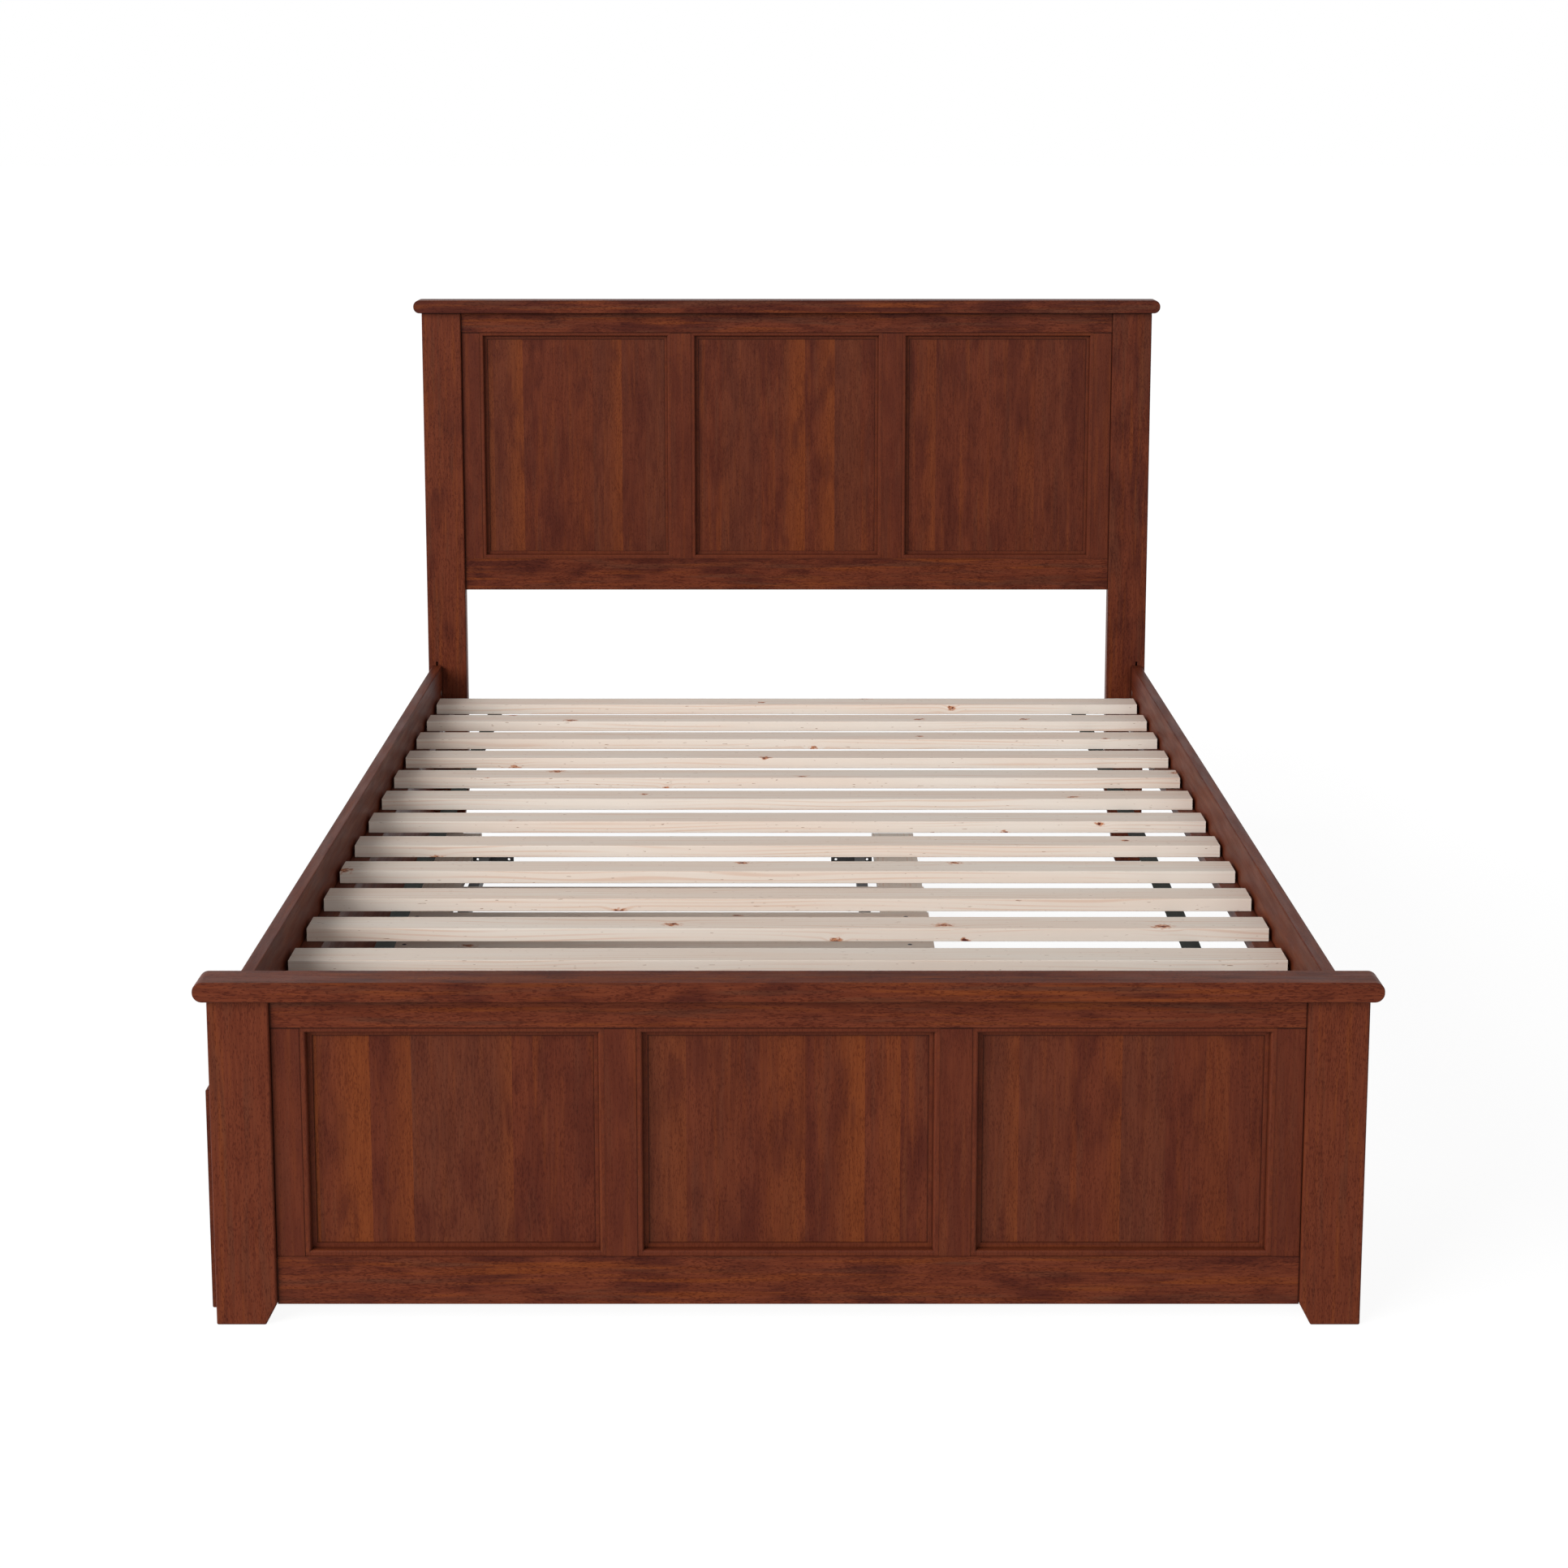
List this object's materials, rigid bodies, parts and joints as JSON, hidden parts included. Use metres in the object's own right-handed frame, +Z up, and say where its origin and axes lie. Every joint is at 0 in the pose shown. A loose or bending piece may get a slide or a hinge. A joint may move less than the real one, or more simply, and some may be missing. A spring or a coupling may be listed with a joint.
{
  "type": "platform bed",
  "caption": "Stained wooden platform bed with panelled headboard and footboard, slatted deck and a twin trundle that rolls out on casters from under one side.",
  "frame": {"origin": "on the floor, below the middle of the whole bed's box", "axes": "+X to the right as seen from the foot end, +Y towards the headboard, +Z up"},
  "size_m": [1.458, 2.0006, 1.1344],
  "materials": {
    "stained_wood": "satin red-brown stain",
    "panel_veneer": "satin red-brown stain on edge-joined boards",
    "slat_wood": "planed, unfinished pale softwood",
    "webbing": "woven polypropylene webbing",
    "zinc_steel": "zinc plated",
    "black_steel": "black powder coat",
    "caster_plastic": "moulded black nylon"
  },
  "bodies": {
    "bed_frame": {"headboard_post_left": "stained_wood", "headboard_post_right": "stained_wood", "headboard_top_rail": "stained_wood", "headboard_bottom_rail": "stained_wood", "headboard_stile_left": "stained_wood", "headboard_stile_right": "stained_wood", "headboard_mullion_left": "stained_wood", "headboard_mullion_right": "stained_wood", "headboard_panel_left": "panel_veneer", "headboard_panel_center": "panel_veneer", "headboard_panel_right": "panel_veneer", "headboard_beads": "stained_wood", "headboard_cap": "stained_wood", "footboard_post_left": "stained_wood", "footboard_post_right": "stained_wood", "footboard_top_rail": "stained_wood", "footboard_bottom_rail": "stained_wood", "footboard_stile_left": "stained_wood", "footboard_stile_right": "stained_wood", "footboard_mullion_left": "stained_wood", "footboard_mullion_right": "stained_wood", "footboard_panel_left": "panel_veneer", "footboard_panel_center": "panel_veneer", "footboard_panel_right": "panel_veneer", "footboard_beads": "stained_wood", "footboard_cap": "stained_wood", "side_rail_left": "stained_wood", "side_rail_right": "stained_wood", "slat_cleat_left": "stained_wood", "slat_cleat_right": "stained_wood", "slat_01": "slat_wood", "slat_02": "slat_wood", "slat_03": "slat_wood", "slat_04": "slat_wood", "slat_05": "slat_wood", "slat_06": "slat_wood", "slat_07": "slat_wood", "slat_08": "slat_wood", "slat_09": "slat_wood", "slat_10": "slat_wood", "slat_11": "slat_wood", "slat_12": "slat_wood", "slat_13": "slat_wood", "slat_14": "slat_wood", "slat_straps": "webbing", "rail_hook_plates": "zinc_steel", "rail_barrels": "zinc_steel"},
    "trundle": {"trundle_front_panel": "stained_wood", "trundle_front_board": "slat_wood", "trundle_rear_board": "slat_wood", "trundle_slats": "slat_wood", "trundle_bearers": "slat_wood", "trundle_tubes": "black_steel", "trundle_slat_screws": "black_steel", "trundle_angles": "zinc_steel", "caster_forks": "zinc_steel"},
    "caster_wheel_front_foot": {"caster_wheel_front_foot": "caster_plastic"},
    "caster_wheel_front_head": {"caster_wheel_front_head": "caster_plastic"},
    "caster_wheel_rear_foot": {"caster_wheel_rear_foot": "caster_plastic"},
    "caster_wheel_rear_head": {"caster_wheel_rear_head": "caster_plastic"}
  },
  "joints": [
    {"name": "trundle_slide", "type": "slide", "parent": "bed_frame", "child": "trundle", "axis": [-1, 0, 0], "range_m": [0, 0.94]},
    {"name": "wheel_roll_front_foot", "type": "hinge", "parent": "trundle", "child": "caster_wheel_front_foot", "pos_m": [-0.65975, -0.76, 0.02], "axis": [0, -1, 0], "continuous": true},
    {"name": "wheel_roll_front_head", "type": "hinge", "parent": "trundle", "child": "caster_wheel_front_head", "pos_m": [-0.65975, 0.76, 0.02], "axis": [0, -1, 0], "continuous": true},
    {"name": "wheel_roll_rear_foot", "type": "hinge", "parent": "trundle", "child": "caster_wheel_rear_foot", "pos_m": [0.2117, -0.76, 0.02], "axis": [0, -1, 0], "continuous": true},
    {"name": "wheel_roll_rear_head", "type": "hinge", "parent": "trundle", "child": "caster_wheel_rear_head", "pos_m": [0.2117, 0.76, 0.02], "axis": [0, -1, 0], "continuous": true}
  ],
  "couplings": [
    {"joint": "wheel_roll_front_foot", "follows": "trundle_slide", "rad_per_m": 50},
    {"joint": "wheel_roll_front_head", "follows": "trundle_slide", "rad_per_m": 50},
    {"joint": "wheel_roll_rear_foot", "follows": "trundle_slide", "rad_per_m": 50},
    {"joint": "wheel_roll_rear_head", "follows": "trundle_slide", "rad_per_m": 50}
  ]
}
